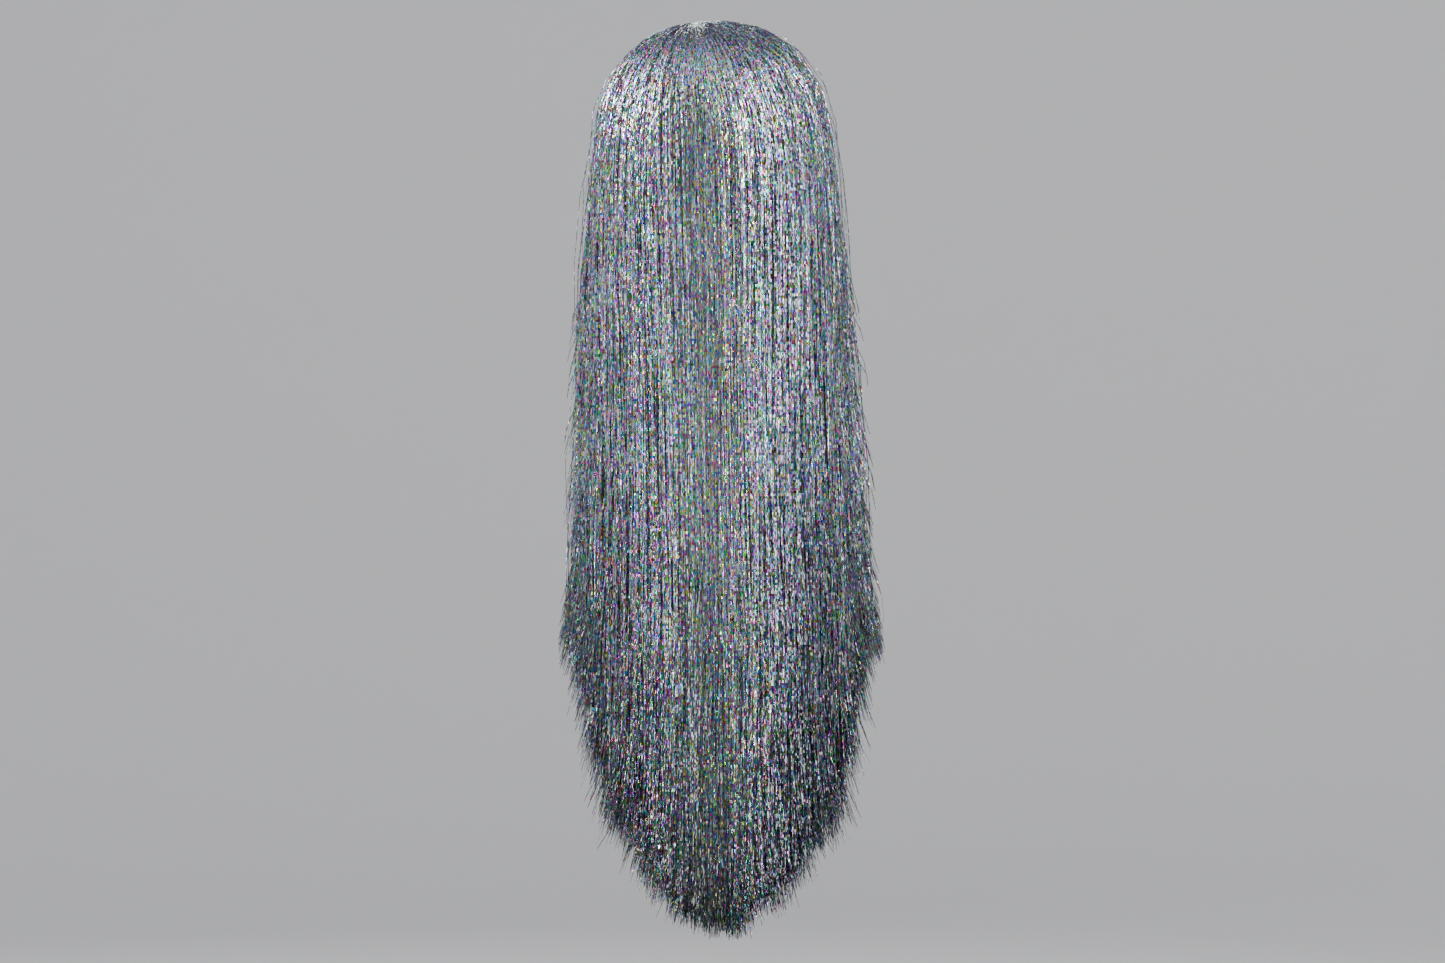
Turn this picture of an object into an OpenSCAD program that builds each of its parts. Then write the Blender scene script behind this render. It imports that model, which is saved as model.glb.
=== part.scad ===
// A very long, straight costume wig of flat metallic tinsel on a sewn cap.
// The frame's origin is the middle of the head at the hat line: +Z up, the face towards -Y,
// the wearer's left towards +X. An azimuth is counted from the back of the head towards +X.

/* [Head space] */
// Half width of the head space inside the cap
head_half_w = 77; // [74:0.5:80]
// Half length of the head space, front to back
head_half_l = 98; // [95:0.5:101]
// Height of the head space above the hat line
head_h = 100; // [97:0.5:103]

/* [Cap] */
// Height of the cap's edge over the forehead
forehead_z = 45; // [40:1:50]
// Height of the cap's edge over the ears
ear_z = -4; // [-6:1:-2]
// Height of the cap's edge at the nape
nape_z = -66; // [-68:1:-62]
// Height of the net's lower edge at the back
net_z = 26; // [24:1:30]
// Height of the stretch band at the nape
nape_band_h = 24; // [20:1:26]
// Height of the band at the forehead
front_band_h = 22; // [18:1:26]
// Thickness of the net, the lace and the bands
cloth_t = 0.8; // [0.6:0.1:0.9]
// Azimuth at which the nape band meets the side lace
nape_end = 61; // [58:1:64]
// Azimuth at which the side lace meets the front band
lace_end = 112; // [110:1:116]
// Angular width of one lace rib at the back
rib_span = 5.4; // [4:0.2:7]
// Angle between two ribs
rib_step = 24; // [22:1:26]

/* [Parting] */
// Place of the parting, towards the wearer's left
part_x = 14; // [8:1:16]
// Place of the crown whorl, front to back
whorl_y = 28; // [20:1:34]
// Half width of the skin-top strip
patch_half_w = 9; // [7:1:10]

/* [Ear tabs] */
// Azimuth of an ear tab's middle
tab_azimuth = 104; // [103:0.5:105]
// Half of an ear tab's angular width
tab_half_span = 5; // [4:0.5:5.5]
// Height of an ear tab's lower end
tab_low_z = -36; // [-38:1:-30]
// Length of the metal stay on an ear tab
stay_l = 17; // [12:1:18]

/* [Size adjusters] */
// Azimuth at which the elastic strap is sewn to the nape band
strap_sewn = 55; // [50:1:56]
// Azimuth at which the elastic strap meets its hook
strap_free = 37; // [36:1:40]
// Azimuth of the hook's middle in the loosest loop
hook_azimuth = 29; // [28:0.5:30]
// Azimuth of the hook's middle in the tightest loop
hook_tight = 9; // [8:0.5:12]
// Height of the strap and the loop tape
strap_h = 9; // [7:0.5:10]
// Length of the hook's plate
hook_l = 8; // [6:0.5:9]
// Number of loops on each tape
loop_count = 4; // [3:1:5]

/* [Weft tracks] */
// Height of a weft track
weft_h = 2.6; // [2:0.1:3.2]
// Thickness of a weft track
weft_t = 1.8; // [1.2:0.1:2]

/* [Hair on the head] */
// Half width of the hair at the hat line
hair_half_w = 102; // [101:0.5:108]
// Reach of the hair behind the head
hair_back = 118; // [116:1:124]
// Reach of the hair in front of the head
hair_front = 106; // [104:1:112]
// Height of the hair's top
hair_top = 118; // [115:1:124]
// Roundness of the hair's outline, where 2 is an ellipse
hair_power = 2.3; // [2.1:0.05:2.5]
// Share of the full thickness kept at the front hairline
front_fullness = 0.35; // [0.3:0.05:0.5]

/* [Falls] */
// Height of the longest ends, below the hat line
tip_z = -682; // [-700:2:-640]
// Flare of each side at the flare depth
flare = 27; // [20:1:36]
// Depth below the hat line at which the flare is measured
flare_depth = 400; // [350:10:450]
// Sideways lean of the ends towards the wearer's right
lean = 7; // [0:0.5:10]
// Azimuth at which the back falls meet the side falls
split_azimuth = 46; // [44:1:48]
// Azimuth of the side falls' front edge, beside the face
front_azimuth = 132; // [124:1:136]
// Rise of the curved hem from the middle of the back to its reach
hem_rise = 112; // [90:2:130]
// Azimuth to which that rise is measured
hem_reach = 52; // [48:1:56]
// Azimuth past which the hem rises to the shorter sides
side_short = 50; // [46:1:56]
// Height of the side falls' ends
side_hem_z = -445; // [-480:1:-430]
// Depth of the pointed ends
spike = 26; // [10:2:30]

/* [Hidden] */
// Layers, as distances outward from the head space
net_off = 0;
weft_off = 1.2;
patch_off = 1.1;
patch_t = 0.6;
patch_front = -83;
hair_off = 4.5;
thin_from = -95;
thin_reach = 70;
seam = 0.4;
// Azimuth at which the hair behind the whorl meets the hair beside the parting
crown_end = 72;
crown_seam = 0.8;
whorl_spread = 0.05;
// Distances inward from the head space, where the adjusters lie
tape_off = -0.7;
tape_t = 0.5;
tape_end = 4;
loop_t = 0.7;
loop_span = 1.4;
strap_off = -1.4;
strap_t = 0.9;
hook_off = -3.0;
hook_t = 1.0;
// Rows of tinsel
back_rows = 8;
side_rows = 3;
front_rows = 2;
crown_heights = [44, 64, 82];
front_weft_end = 158;
weft_clear = 5;
// Heights of the falls' hinge lines, how far their tops reach above them, and the free gap over a top
back_hinge_z = -48;
back_rise_max = 10;
side_hinge_z = -34;
side_rise_max = 6;
knuckle_gap = 3;
// Height of the lower cut's inner edge, which leaves room for the falls' tops as they turn
inner_cut = -9;
// Thickness of the falls at the back, at the ears and at the face
back_depth = 25;
ear_depth = 14;
face_depth = 10;
nape_depth = 12;
layer_gap = 0.8;
back_layers = 3;
side_layers = 2;
// Angle left free between a side fall and the back falls
fall_gap = 1.2;
back_end = split_azimuth - fall_gap / 2;
side_start = split_azimuth + fall_gap / 2;
// Highest place of each back layer above the hinge line, and each layer's shortening at the hem
layer_rise = [10, 3, 0];
layer_drop = [6, 3, 10];
side_layer_drop = [0, 12];
// Azimuth from which the side falls' ends are level, and the bend of the curve behind it
side_end = 90;
hem_power = 2.1;
// Thickness of a layer at its ends
tip_t = 1.5;
// How the flare and the lean grow with depth, and how the back draws in below the head
flare_power = 0.65;
lean_power = 1.2;
back_draw = 10;
back_draw_depth = 250;
nape_fall_top = -72;
nape_fall_end = 38;
// Whorl and front end of the parting, as directions from the head's middle
whorl_dir = unit([part_x, whorl_y, head_h]);
cap_blue = "SlateGray";
tinsel = "Silver";
inner_tinsel = "LightSlateGray";
track = "DimGray";
side_names = ["left", "right"];

// ---- Small helpers ----

function unit(v) = v / norm(v);
function smooth(t) = let (c = min(1, max(0, t))) c * c * (3 - 2 * c);
function mix(a, b, t) = a + (b - a) * t;
function steps(a, b, n) = [for (i = [0:n]) mix(a, b, i / n)];
function slerp(a, b, t) = let (w = acos(a * b)) (sin((1 - t) * w) * a + sin(t * w) * b) / sin(w);

// A closed solid between two grids of points. Along a grid's rows the azimuth grows,
// and along its columns the height does.
module shell(outer, inner) {
    n = len(outer);
    m = len(outer[0]);
    half = n * m;
    polyhedron(
        points = [for (row = outer) each row, for (row = inner) each row],
        faces = [
            for (i = [0:n - 2]) for (j = [0:m - 2]) let (a = i * m + j, b = a + m) each [
                [a, b, b + 1], [a, b + 1, a + 1],
                [half + a, half + b + 1, half + b], [half + a, half + a + 1, half + b + 1]
            ],
            for (i = [0:n - 2]) let (a = i * m, b = a + m) each quad(b, a, half + a, half + b),
            for (i = [0:n - 2]) let (a = i * m + m - 1, b = a + m) each quad(a, b, half + b, half + a),
            for (j = [0:m - 2]) each quad(j, j + 1, half + j + 1, half + j),
            for (j = [0:m - 2]) let (a = (n - 1) * m + j) each quad(a + 1, a, half + a, half + a + 1)
        ],
        convexity = 8
    );
}

function quad(a, b, c, d) = [[a, b, c], [a, c, d]];

// A closed dome between two stacks of rings, the lowest ring first and each ending in one top point
module dome(outer, inner) {
    n = len(outer[0]);
    m = len(outer);
    half = n * m;
    top = 2 * half;
    polyhedron(
        points = [
            for (ring = outer) each ring, for (ring = inner) each ring,
            [0, 0, head_h + net_off + cloth_t], [0, 0, head_h + net_off]
        ],
        faces = [
            for (j = [0:m - 2]) for (i = [0:n - 1])
                let (a = j * n + i, b = j * n + (i + 1) % n) each [
                    [a, b, b + n], [a, b + n, a + n],
                    [half + a, half + b + n, half + b], [half + a, half + a + n, half + b + n]
                ],
            for (i = [0:n - 1]) let (b = (i + 1) % n) each quad(b, i, half + i, half + b),
            for (i = [0:n - 1]) let (a = (m - 1) * n + i, b = (m - 1) * n + (i + 1) % n) each [
                [a, b, top], [half + b, half + a, top + 1]
            ]
        ],
        convexity = 8
    );
}

// Draws its children as they are for the wearer's left, and mirrored for the right
module on_side(s) {
    if (s == "left") children();
    else mirror([1, 0, 0]) children();
}

// ---- The cap ----

// Height of the cap's lower edge all round
function edge_z(az) = let (a = abs(az))
    nape_z + (ear_z - nape_z) * smooth((a - 35) / 50) + (forehead_z - ear_z) * smooth((a - 100) / 80);

// Height of the net's lower edge all round
function net_low(az) = max(net_z, edge_z(az) + front_band_h);

// A point at an azimuth and a height, at a distance outward from the head space
function on_cap(az, z, off) = let (k = sqrt(max(0, 1 - pow(z / head_h, 2)))) [
    (head_half_w + off) * k * sin(az), (head_half_l + off) * k * cos(az), z * (head_h + off) / head_h
];

// A piece of cloth on the cap. Its heights are the lists of lower and upper edges along the azimuths.
module cloth(azimuths, low, high, off, t, rows) {
    function grid(o) = [
        for (i = [0:len(azimuths) - 1]) [for (z = steps(low[i], high[i], rows)) on_cap(azimuths[i], z, o)]
    ];
    shell(grid(off + t), grid(off));
}

module crown_net() {
    ring_count = 10;
    sectors = 36;
    function ring(k, off) = [
        for (i = [0:sectors - 1]) let (az = i * 360 / sectors, low = net_low(az))
            on_cap(az, head_h * sin(mix(asin(low / head_h), 84, k / ring_count)), off)
    ];
    color(cap_blue) dome(
        [for (k = [0:ring_count]) ring(k, net_off + cloth_t)],
        [for (k = [0:ring_count]) ring(k, net_off)]
    );
}

module front_band() {
    az = steps(lace_end, 360 - lace_end, 28);
    turned = [for (a = az) a > 180 ? a - 360 : a];
    color(cap_blue)
        cloth(az, [for (a = turned) edge_z(a)], [for (a = turned) net_low(a) - seam], net_off, cloth_t, 3);
}

module nape_band() {
    az = steps(-nape_end + seam, nape_end - seam, 26);
    color(cap_blue)
        cloth(az, [for (a = az) edge_z(a)], [for (a = az) edge_z(a) + nape_band_h], net_off, cloth_t, 3);
}

module side_lace() {
    az = steps(nape_end, lace_end - seam, 12);
    color(cap_blue)
        cloth(az, [for (a = az) edge_z(a)], [for (a = az) net_low(a) - seam], net_off, cloth_t, 4);
}

module rib(k) {
    middle = (k - 3) * rib_step;
    az = steps(middle - rib_span / 2, middle + rib_span / 2, 2);
    low = [for (a = az) edge_z(a) + nape_band_h + seam];
    color(cap_blue) cloth(az, low, [for (a = az) net_z - seam], net_off, cloth_t, 10);
}

// The skin-top strip under the parting, from the hairline to behind the whorl
module part_patch() {
    x_steps = steps(part_x - patch_half_w, part_x + patch_half_w, 4);
    y_steps = steps(whorl_y + 14, patch_front, 16);
    function over_cap(x, y, off) = let (a = head_half_w + off, b = head_half_l + off)
        [x, y, (head_h + off) * sqrt(1 - pow(x / a, 2) - pow(y / b, 2))];
    function grid(off) = [for (x = x_steps) [for (y = y_steps) over_cap(x, y, off)]];
    color("Lavender") shell(grid(patch_off + patch_t), grid(patch_off));
}

module ear_tab() {
    az = steps(tab_azimuth - tab_half_span, tab_azimuth + tab_half_span, 8);
    rise = (edge_z(tab_azimuth) - tab_low_z) * 0.45;
    low = [for (a = az) tab_low_z + rise * pow(abs(a - tab_azimuth) / tab_half_span, 2)];
    color(cap_blue) cloth(az, low, [for (a = az) edge_z(a) - 2 * seam], net_off, cloth_t, 4);
}

// Stands its children on the cap at an azimuth and a height, with their Y running down
// and their Z pointing out of the cap
module stand_on_cap(az, z, off) {
    p = on_cap(az, z, off);
    n = cap_normal(p);
    translate(p) rotate([0, 0, -atan2(n.x, n.y)]) rotate([rise_of(n) - 90, 0, 0]) children();
}

// Direction out of the cap at a point on it, and the angle by which a direction rises
function cap_normal(p) = unit([p.x / pow(head_half_w, 2), p.y / pow(head_half_l, 2), p.z / pow(head_h, 2)]);
function rise_of(n) = atan2(n.z, norm([n.x, n.y]));

// A flat bar with round ends, standing on its local XY plane
module bar(l, w, t) {
    for (s = [-1, 1]) translate([s * (l - w) / 2, 0, 0]) cylinder(h = t, d = w, $fn = 32);
    translate([-(l - w) / 2, -w / 2, 0]) cube([l - w, w, t]);
}

module ear_stay() {
    middle = (edge_z(tab_azimuth) + tab_low_z) / 2;
    color("Gainsboro") stand_on_cap(tab_azimuth, middle, net_off + cloth_t + 0.5)
        rotate([0, 0, 90]) bar(stay_l, 3, 0.7);
}

// Height of the middle of the adjusters along the nape band
function strap_z(az) = edge_z(az) + nape_band_h / 2;

module adjuster_strap() {
    az = steps(strap_free, strap_sewn, 8);
    color("Gainsboro")
        cloth(az, [for (a = az) strap_z(a) - strap_h / 2], [for (a = az) strap_z(a) + strap_h / 2],
            strap_off, strap_t, 1);
}

// The tape under a hook, with one raised loop for each place of the hook
module loop_tape() {
    az = steps(hook_tight - tape_end, hook_azimuth + tape_end, 56);
    loops = steps(hook_tight, hook_azimuth, loop_count - 1);
    function raised(a) = min([for (l = loops) abs(a - l)]) < loop_span ? loop_t : 0;
    function grid(rise) = [for (a = az) let (z = strap_z(a)) [
        on_cap(a, z - strap_h / 2, tape_off + rise(a)), on_cap(a, z + strap_h / 2, tape_off + rise(a))
    ]];
    color("Gainsboro") shell(grid(function (a) tape_t), grid(function (a) -raised(a)));
}

// The flat hook: a plate with a slot for the strap and a tongue that drops into a loop
module adjuster_hook() {
    start = on_cap(hook_azimuth, strap_z(hook_azimuth), hook_off);
    color("Gainsboro") translate(start) hook_frame() difference() {
        union() {
            translate([-hook_l / 2, -strap_h / 2, -hook_t / 2]) cube([hook_l, strap_h, hook_t]);
            translate([hook_l / 2, -1.5, -hook_t / 2]) cube([3, 3, hook_t]);
            translate([hook_l / 2 + 3, 0, -hook_t / 2]) cylinder(h = hook_t, d = 3, $fn = 32);
        }
        translate([-hook_l / 2 + 1.2, -strap_h / 2 + 1.2, -hook_t]) cube([2, strap_h - 2.4, 2 * hook_t]);
    }
}

// Turns the hook along its straight way: local X points towards the tightest loop, and local Z out of the cap
module hook_frame() {
    way = on_cap(hook_tight, strap_z(hook_tight), hook_off) - on_cap(hook_azimuth, strap_z(hook_azimuth), hook_off);
    middle = (hook_azimuth + hook_tight) / 2;
    rotate([0, 0, atan2(way.y, way.x)])
        rotate([90 - rise_of(cap_normal(on_cap(middle, strap_z(middle), 0))), 0, 0]) children();
}

// ---- Weft tracks ----

module track_row(az, heights) {
    low = [for (z = heights) z - weft_h / 2];
    high = [for (z = heights) z + weft_h / 2];
    color(track) cloth(az, low, high, weft_off, weft_t, 1);
}

module back_weft(k) {
    az = steps(-nape_end + 3, nape_end - 3, 24);
    track_row(az, [for (a = az) mix(edge_z(a) + weft_clear, net_z - 4, (k - 1) / (back_rows - 1))]);
}

module crown_weft(k) {
    z = crown_heights[k - 1];
    reach = part_x + patch_half_w + weft_clear;
    stop = 180 - asin(reach / (head_half_w * sqrt(1 - pow(z / head_h, 2))));
    az = steps(-stop, stop, 36);
    track_row(az, [for (a = az) max(z, net_low(a) + weft_h)]);
}

module side_weft(k) {
    az = steps(nape_end + 1, lace_end - 3, 10);
    track_row(az, [for (a = az) mix(edge_z(a) + weft_clear, net_z - 4, (k - 1) / (side_rows - 1))]);
}

module front_weft(k) {
    az = steps(lace_end + 1, front_weft_end, 10);
    track_row(az, [for (a = az) edge_z(a) + mix(weft_clear, front_band_h - 6, (k - 1) / (front_rows - 1))]);
}

// ---- The hair ----

// Distance from the head's middle to the cap's layer along a direction
function cap_r(u, off) = 1 / norm([
    u.x / (head_half_w + off), u.y / (head_half_l + off), u.z / (head_h + off)
]);

// Distance from the head's middle to the hair's full outline along a direction
function full_r(u, w, back) = pow(
    pow(abs(u.x) / w, hair_power)
        + pow(abs(u.y) / (u.y > 0 ? back : hair_front), hair_power)
        + pow(max(u.z, 0) / hair_top, hair_power),
    -1 / hair_power
);

// Share of the full thickness, less towards the front hairline
function fullness(y) = mix(front_fullness, 1, smooth((y - thin_from) / thin_reach));

function hair_r(u, w, back) = let (inner = cap_r([u.x, u.y, max(u.z, 0)], hair_off))
    mix(inner, full_r(u, w, back), fullness(u.y * inner));

// Half width and back reach of the hair at a height below the hat line
function fall_w(z) = hair_half_w + flare * pow(max(0, -z) / flare_depth, flare_power);
function fall_back(z) = hair_back - back_draw * smooth(-z / back_draw_depth);
function fall_lean(z) = -lean * pow(min(1, max(0, -z) / flare_depth), lean_power);

// A point of a fall at an azimuth and a height, a distance in from the hair's outline
function on_fall(az, z, d) = let (u = [sin(az), cos(az), 0], r = hair_r(u, fall_w(z), fall_back(z)) - d)
    [r * u.x + fall_lean(z), r * u.y, z];

// Total thickness of the falls at an azimuth
function fall_depth(az) = back_depth - (back_depth - ear_depth) * smooth(az / 90)
    - (ear_depth - face_depth) * smooth((az - 90) / 42);

// How far the falls reach above their hinge lines, fading out where two falls meet
function back_rise(az) = back_rise_max * smooth((split_azimuth - abs(az)) / 20);
function side_rise(az) = side_rise_max * smooth((abs(az) - split_azimuth) / 16);

// Height of the visible cut between the hair on the head and the falls
function cut_z(az) = let (meeting = side_hinge_z + knuckle_gap) abs(az) > split_azimuth
    ? meeting + side_rise(az)
    : mix(back_hinge_z + knuckle_gap + back_rise(az), meeting, smooth(1 - (split_azimuth - abs(az)) / 6));

// One column of the hair on the head, from its lower cut up to a root direction
function hair_column(az, root, outer) = let (level = [sin(az), cos(az), 0], low = outer ? cut_z(az) : inner_cut)
    [
        for (t = steps(1, 0, 3)) if (t > 0) below_hat_line(az, low * t, outer),
        for (t = steps(1, 0, 9)) let (u = slerp(root, level, t))
            u * (outer ? hair_r(u, hair_half_w, hair_back) : cap_r(u, hair_off))
    ];
function below_hat_line(az, z, outer) = outer
    ? let (p = on_fall(az, z, 0)) [p.x - fall_lean(z), p.y, z]
    : let (k = sqrt(1 - pow(z / head_h, 2)), r = cap_r([sin(az), cos(az), 0], hair_off))
        [r * sin(az), r * cos(az), z];

// A root near the whorl, a few millimetres out along its own azimuth
function whorl_root(az) = slerp(whorl_dir, [sin(az), cos(az), 0], whorl_spread);

module crown_hair() {
    az = steps(-crown_end, crown_end, 36);
    color(tinsel) shell(
        [for (a = az) hair_column(a, whorl_root(a), true)],
        [for (a = az) hair_column(a, whorl_root(a), false)]
    );
}

// Hair that leaves one side of the parting, from behind the whorl to the hairline
module top_hair(side) {
    az = steps(crown_end + crown_seam, front_azimuth, 14);
    beside = side * part_x;
    function root(a) = let (s = (a - crown_end) / (front_azimuth - crown_end))
        unit([beside + 1.2, mix(whorl_y, -82, pow(s, 0.8)), mix(head_h, 50, pow(s, 2.2))]);
    color(tinsel) shell(
        [for (a = az) hair_column(a, root(a), true)],
        [for (a = az) hair_column(a, root(a), false)]
    );
}

// Height of the ends at an azimuth: a deep curve behind, and a level cut beside the face
function hem(az) = let (a = abs(az), curve = tip_z + hem_rise * pow(a / hem_reach, hem_power))
    mix(curve, side_hem_z, smooth((a - side_short) / (side_end - side_short)));

// A layer of a fall between two depths, with pointed and thinned ends
module fall(az, near, far, top, hem) {
    rows = 8;
    function height(i, t) = mix(hem[i] + (i % 2 == 0 ? spike : 0), top[i], t);
    shell(
        [for (i = [0:len(az) - 1]) [for (t = steps(0, 1, rows)) on_fall(az[i], height(i, t), near[i])]],
        [for (i = [0:len(az) - 1]) [for (t = steps(0, 1, rows))
            on_fall(az[i], height(i, t), mix(near[i] + tip_t, far[i], smooth(t * 4)))]]
    );
}

// Depths at which a layer starts and ends, for a number of equal layers
function layer_near(az, k, count) = (k - 1) * (fall_depth(az) + layer_gap) / count;
function layer_far(az, k, count) = layer_near(az, k, count) + (fall_depth(az) + layer_gap) / count - layer_gap;

module back_fall(k) {
    az = steps(-back_end, back_end, 42);
    near = [for (a = az) layer_near(abs(a), k, back_layers)];
    far = [for (a = az) layer_far(abs(a), k, back_layers)];
    top = [for (a = az) back_hinge_z + min(layer_rise[k - 1], back_rise(a))];
    color(k == 1 ? tinsel : inner_tinsel) fall(az, near, far, top, [for (a = az) hem(a) + layer_drop[k - 1]]);
}

// The innermost back layer, which hangs from the rows at the nape and holds the longest ends
module nape_fall() {
    az = steps(-nape_fall_end, nape_fall_end, 36);
    near = [for (a = az) fall_depth(abs(a)) + layer_gap];
    top = [for (a = az) nape_fall_top];
    color(inner_tinsel) fall(az, near, [for (d = near) d + nape_depth], top, [for (a = az) hem(a)]);
}

// The ends lean the same way on both sides, so a right fall isn't a mirrored left one
module side_fall(k, side) {
    az = side > 0 ? steps(side_start, front_azimuth, 30) : steps(-front_azimuth, -side_start, 30);
    near = [for (a = az) layer_near(abs(a), k, side_layers)];
    far = [for (a = az) layer_far(abs(a), k, side_layers)];
    top = [for (a = az) side_hinge_z + side_rise(a)];
    color(k == 1 ? tinsel : inner_tinsel)
        fall(az, near, far, top, [for (a = az) hem(a) + side_layer_drop[k - 1]]);
}

// ---- Each node ----

crown_net();
part_patch();
front_band();
nape_band();
for (s = side_names) {
    on_side(s) side_lace();
    on_side(s) ear_tab();
    on_side(s) ear_stay();
    on_side(s) adjuster_strap();
    on_side(s) adjuster_hook();
    on_side(s) loop_tape();
    for (k = [1:side_rows]) on_side(s) side_weft(k);
    for (k = [1:front_rows]) on_side(s) front_weft(k);
}
for (k = [1:5]) rib(k);
for (k = [1:back_rows]) back_weft(k);
for (k = [1:len(crown_heights)]) crown_weft(k);
crown_hair();
top_hair(1);  // left_top_hair
mirror([1, 0, 0]) top_hair(-1);  // right_top_hair
for (k = [1:back_layers]) back_fall(k);
nape_fall();
for (k = [1:side_layers]) {
    side_fall(k, 1);
    side_fall(k, -1);
}
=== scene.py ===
import bpy
import bmesh
import math
import numpy as np
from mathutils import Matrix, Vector


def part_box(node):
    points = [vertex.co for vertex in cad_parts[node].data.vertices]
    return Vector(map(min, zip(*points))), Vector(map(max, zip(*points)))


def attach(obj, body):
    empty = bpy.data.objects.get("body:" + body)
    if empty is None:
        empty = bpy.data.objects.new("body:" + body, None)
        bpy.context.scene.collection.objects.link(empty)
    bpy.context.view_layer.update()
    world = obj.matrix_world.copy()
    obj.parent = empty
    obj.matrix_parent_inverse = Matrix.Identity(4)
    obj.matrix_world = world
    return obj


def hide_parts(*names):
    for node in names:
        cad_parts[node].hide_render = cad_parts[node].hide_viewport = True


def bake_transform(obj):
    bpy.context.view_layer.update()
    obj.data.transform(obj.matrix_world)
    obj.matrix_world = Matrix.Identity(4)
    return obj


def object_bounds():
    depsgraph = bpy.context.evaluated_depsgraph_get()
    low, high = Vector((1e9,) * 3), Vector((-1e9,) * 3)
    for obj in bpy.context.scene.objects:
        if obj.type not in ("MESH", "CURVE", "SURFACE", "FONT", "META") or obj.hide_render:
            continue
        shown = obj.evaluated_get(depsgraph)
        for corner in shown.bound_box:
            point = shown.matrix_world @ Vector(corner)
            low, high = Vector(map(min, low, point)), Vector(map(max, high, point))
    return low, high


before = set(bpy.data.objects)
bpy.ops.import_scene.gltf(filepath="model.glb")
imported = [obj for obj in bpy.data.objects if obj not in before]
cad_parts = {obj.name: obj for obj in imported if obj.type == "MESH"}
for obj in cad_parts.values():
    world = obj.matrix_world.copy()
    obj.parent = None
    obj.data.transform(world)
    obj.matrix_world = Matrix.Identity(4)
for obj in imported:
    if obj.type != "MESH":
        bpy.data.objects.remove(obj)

cadLow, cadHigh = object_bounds()
print("frame loaded")

# The wig's frame: the head's middle at the hat line, face to -Y, wearer's left to +X.
# An azimuth is counted from the back of the head towards +X.

head = {
    "halfWidth": 0.077,
    "halfLength": 0.098,
    "height": 0.100,
}

hair = {
    "halfWidth": 0.102,
    "back": 0.118,
    "front": 0.106,
    "top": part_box("crown_hair")[1][2],
    "tip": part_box("back_fall_4")[0][2],
    "power": 2.3,  # how square the full outline is
    "frontFullness": 0.35,
    "thinFrom": -0.095,  # place along Y where the hair over the forehead starts to thicken
    "thinReach": 0.070,
    "offCap": 0.0045,
    "flare": 0.027,
    "flareDepth": 0.400,
    "flarePower": 0.65,
    "backDraw": 0.010,  # how far the back draws in below the head
    "backDrawDepth": 0.250,
    "lean": 0.007,
    "leanPower": 1.2,
    "thick": 0.025,  # depth of the hair behind, and how much thinner it is at the sides and in front
    "sideThinner": 0.011,
    "frontThinner": 0.004,
    "partX": 0.014,
    "partHalf": 0.0008,
    "partFront": (-0.082, 0.050),  # Y and Z of the parting's front end
    "partBend": (0.8, 2.2),
    "whorlY": 0.028,
    "splitAzimuth": 46.0,  # where the hair behind meets the hair at the side
    "frontAzimuth": 132.0,
    "crownEnd": 72.0,
    "hemRise": 0.112,  # how much higher the ends are at hemReach degrees than at the middle of the back
    "hemReach": 52.0,
    "hemPower": 2.1,
    "sideShort": 50.0,
    "sideEnd": 90.0,
    "sideHem": -0.445,
}


# Small helpers on numbers and arrays
def smooth(t):
    t = np.clip(t, 0.0, 1.0)
    return t * t * (3 - 2 * t)


def mix(a, b, t):
    return a + (b - a) * t


def unit(v):
    return v / np.linalg.norm(v, axis=-1, keepdims=True)


def slerp(a, b, t):
    w = np.arccos(np.clip(np.sum(a * b, axis=-1, keepdims=True), -1, 1))
    return (np.sin((1 - t) * w) * a + np.sin(t * w) * b) / np.sin(w)


def levelWay(az):
    r = np.radians(az)
    return np.stack([np.sin(r), np.cos(r), np.zeros_like(r)], axis=-1)


def capRadius(u, off):
    size = np.array([head["halfWidth"], head["halfLength"], head["height"]]) + off
    return 1 / np.linalg.norm(u / size, axis=-1)


def fullRadius(u, width, back):
    n = hair["power"]
    reach = np.where(u[..., 1] > 0, back, hair["front"])
    total = (np.abs(u[..., 0]) / width) ** n + (np.abs(u[..., 1]) / reach) ** n
    total = total + (np.maximum(u[..., 2], 0) / hair["top"]) ** n
    return total ** (-1 / n)


def hairRadius(u, width, back):
    flat = u.copy()
    flat[..., 2] = np.maximum(flat[..., 2], 0)
    inner = capRadius(flat, hair["offCap"])
    full = mix(hair["frontFullness"], 1.0, smooth((u[..., 1] * inner - hair["thinFrom"]) / hair["thinReach"]))
    return mix(inner, fullRadius(u, width, back), full)


def fallWidth(z):
    return hair["halfWidth"] + hair["flare"] * (np.maximum(0, -z) / hair["flareDepth"]) ** hair["flarePower"]


def fallBack(z):
    return hair["back"] - hair["backDraw"] * smooth(-z / hair["backDrawDepth"])


def fallLean(z):
    return -hair["lean"] * np.minimum(1, np.maximum(0, -z) / hair["flareDepth"]) ** hair["leanPower"]


def fallDepth(az):
    a = np.abs(az)
    side = smooth(a / 90)
    front = smooth((a - 90) / (hair["frontAzimuth"] - 90))
    return hair["thick"] - hair["sideThinner"] * side - hair["frontThinner"] * front


def hemHeight(az):
    a = np.abs(az)
    curve = hair["tip"] + hair["hemRise"] * (a / hair["hemReach"]) ** hair["hemPower"]
    level = smooth((a - hair["sideShort"]) / (hair["sideEnd"] - hair["sideShort"]))
    return mix(curve, hair["sideHem"], level)


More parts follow.
